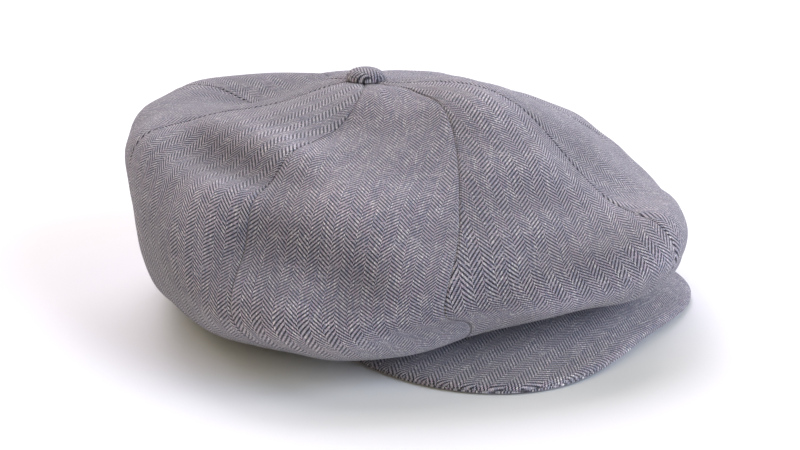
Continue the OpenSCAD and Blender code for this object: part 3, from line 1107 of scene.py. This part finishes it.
def stitch_tree():
    """Short rounded stitches, one after another along a path."""
    tree = Tree("stitches", {"Pitch": "Float", "Length": "Float", "Width": "Float",
                             "Finish": "Material"})
    curve = tree.node("GeometryNodeMeshToCurve", {}, {0: tree.given()})
    curve = tree.node("GeometryNodeResampleCurve", {"mode": "LENGTH"},
                      {"Curve": curve, "Length": tree.given("Pitch")})
    along = tree.node("GeometryNodeInputTangent")
    turn = tree.node("FunctionNodeAlignRotationToVector", {"axis": "X"}, {"Vector": along})
    bead = tree.node("GeometryNodeMeshIcoSphere", {}, {"Radius": 0.5, "Subdivisions": 2})
    scale = tree.node("ShaderNodeCombineXYZ", {},
                      {0: tree.given("Length"), 1: tree.given("Width"), 2: tree.given("Width")})
    row = tree.node("GeometryNodeInstanceOnPoints", {},
                    {0: curve, "Instance": bead, "Rotation": turn, "Scale": scale})
    return tree.done(row)


BAND_TREE = band_tree()
STITCH_TREE = stitch_tree()
print("trees:", [tree.tree.name for tree in (BAND_TREE, STITCH_TREE)])

# %% [markdown]
# ## The sweatband and the stiff tape behind it
# Both stand round the head opening, one against the other. Their ends meet at the nape,
# where the real bands are joined. The path is the rim's own curve, moved in and up, and the
# tree sweeps an upright strip with rounded edges along it.

# %% Bands
BAND_TURNS = 240
BAND_CROSS_START = (0, -0.030, 0)
BAND_CROSS_END = (0, -0.095, 0)


def band(name, inset, thickness, height, finish, node):
    """One upright band round the head opening."""
    angle = np.linspace(-math.pi, math.pi, BAND_TURNS + 1)
    path = rim_point(angle, inset + thickness / 2)
    path[:, 2] += height / 2
    piece = BAND_TREE.run(name, path_mesh(name, [path]), Height=height, Thickness=thickness,
                          Finish=finish)
    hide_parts(node)
    round_ = float(np.linalg.norm(np.diff(path, axis=0), axis=1).sum())
    declare_sheet(height, round_, 1.0)
    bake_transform(piece)
    low = min(v.co.z for v in piece.data.vertices)
    high = max(v.co.z for v in piece.data.vertices)
    print(f"{name}: {round_:.3f} m round, z {low:.4f} to {high:.4f}, {len(piece.data.polygons)} faces")
    return piece


stiff_tape = band("stiff_tape", TAPE_INSET, TAPE, TAPE_HEIGHT, CANVAS, "head_tape")
sweat_ribbon = band("sweat_ribbon", BAND_INSET, BAND, BAND_HEIGHT, BAND_RIBBON, "sweatband")

# %% Stitches of the bands
def stitches(name, chains, pitch, length, width, finish, body_pair=None, closed=False):
    """Rows of stitches: with a body pair they are baked into place, without one they ride with the
    crown.
    """
    piece = STITCH_TREE.run(name, path_mesh(name, chains, closed), Pitch=pitch, Length=length,
                            Width=width, Finish=finish)
    if body_pair:
        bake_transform(piece)
    else:
        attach(piece, "crown")
    print(f"{name}: {len(piece.data.polygons)} faces")
    return piece


turns = np.linspace(-math.pi, math.pi, BAND_TURNS + 1)
inner_face = BAND_INSET + BAND
rows = []
for lift in (2.2 * MM, BAND_HEIGHT - 2.0 * MM):
    row_path = rim_point(turns, inner_face)
    row_path[:, 2] += lift
    rows.append(row_path)
stitches("band_stitches", rows, 3.4 * MM, 2.3 * MM, 0.42 * MM, PALE_THREAD,
         (BAND_CROSS_START, BAND_CROSS_END))

# %% [markdown]
# ## The labels
# A round satin patch covers the point where the lining panels meet, and a small blank tab
# stands on the sweatband at the nape. Both are plain: a label's words are nobody's business
# here. Stitches run just inside the patch's edge.

# %% Label patch
PATCH = 0.4 * MM
patch_station = np.linspace(4.40, CROWN_END, 25)[:, None]
patch_angle = np.linspace(0, 2 * math.pi, 97)[None, :]
angle, station = np.broadcast_arrays(patch_angle, patch_station)
patch_depth = LINING_DEPTH + SATIN + 0.2 * MM


def under_crown(angle, station, depth):
    """Points at a depth under the folded outer face."""
    return crown_point(angle, station) + crown_normal(angle, station) * (
        fold_height(angle, station) - depth)[..., None]


points = under_crown(angle, station, patch_depth)
uv = points[..., :2].copy()
label = grid_object("label_disc", points, uv, LABEL_RIBBON, closed=True)
thicken(label, PATCH)
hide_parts("label_patch")
patch_size = float(np.ptp(points[..., 0])), float(np.ptp(points[..., 1]))
declare_sheet(patch_size[0], patch_size[1], area_of(points))
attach(label, "crown")
ring = under_crown(np.linspace(0, 2 * math.pi, 97)[:-1], np.full(96, 4.45),
                   patch_depth + PATCH + 0.1 * MM)
stitches("label_stitches", [ring], 2.6 * MM, 1.9 * MM, 0.35 * MM, DARK_THREAD, closed=True)

# %% Size tab
TAB = 0.6 * MM
TAB_WIDTH = 13 * MM
TAB_HEIGHT = 18 * MM
tab_inset = BAND_INSET + BAND + 0.2 * MM
tab_turn = TAB_WIDTH / rim_x / 2
tab_low = (BAND_HEIGHT - TAB_HEIGHT) / 2
angle = math.pi + tab_turn * np.linspace(1, -1, 29)[None, :]
lift = np.linspace(0, TAB_HEIGHT, 33)[:, None]
angle, lift = np.broadcast_arrays(angle, lift)
points = rim_point(angle, tab_inset)
points[..., 2] += tab_low + lift
points[..., 1] -= 0.5 * MM * np.sin(math.pi * lift / TAB_HEIGHT) ** 2 - 0.6 * MM
uv = np.stack([lengths(points, 1), lengths(points, 0)], -1)
tab = grid_object("blank_tab", points - [0, 0.6 * MM, 0], uv, LABEL_RIBBON)
thicken(tab, TAB - 0.1 * MM)
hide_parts("size_tab")
declare_sheet(TAB_WIDTH, TAB_HEIGHT, 1.0)
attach(tab, "crown")
print("labels:", label.name, tab.name)

# %% [markdown]
# ## The button
# A scrap of the same wool is gathered over a domed metal button and tied down through the
# crown. The cloth is tight on top and puckers where it is drawn in under the edge. The
# metal, the thread and the peak's board keep the shapes they have in the frame, and get
# their own finishes.

# %% Button
button_radius = (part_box("button_cover")[1].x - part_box("button_cover")[0].x) / 2
cover_low, cover_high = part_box("button_cover")
cover_rise = cover_high.z - cover_low.z
ways = np.linspace(0, 2 * math.pi, 121)[None, :]
outwards = np.linspace(0.0, 1.0, 41)[:, None]
lean = outwards * math.pi / 2
radius = button_radius * np.sin(lean) ** 0.9
height = cover_rise * (1 - np.sin(lean) ** 2.6) ** (1 / 2.6)
gather = 0.32 * MM * np.sin(ways * 17 + np.sin(ways * 5)) * np.clip((outwards - 0.45) / 0.55, 0, 1) ** 2
radius = radius + gather * 0.6
points = np.stack([radius * np.sin(ways), button_y + radius * np.cos(ways) * np.ones_like(ways),
                   cover_low.z + height + gather * 0.5 * (1 - outwards)], -1)
uv = points[..., :2].copy()
button = grid_object("button_cloth", points, uv, TWEED, closed=True)
thicken(button, 0.8 * MM)
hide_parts("button_cover")
cut_radius = button_radius + cover_rise
declare_sheet(2 * cut_radius, 2 * cut_radius, math.pi * cut_radius ** 2)
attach(button, "crown")

KEPT_FINISHES = {"button_core": BUTTON_METAL, "button_thread": PALE_THREAD, "peak_board": PEAK_BOARD}
for node, finish in KEPT_FINISHES.items():
    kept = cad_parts[node].data
    kept.materials.clear()
    kept.materials.append(finish)
print("button:", round(button_radius * 2, 4), "m across")
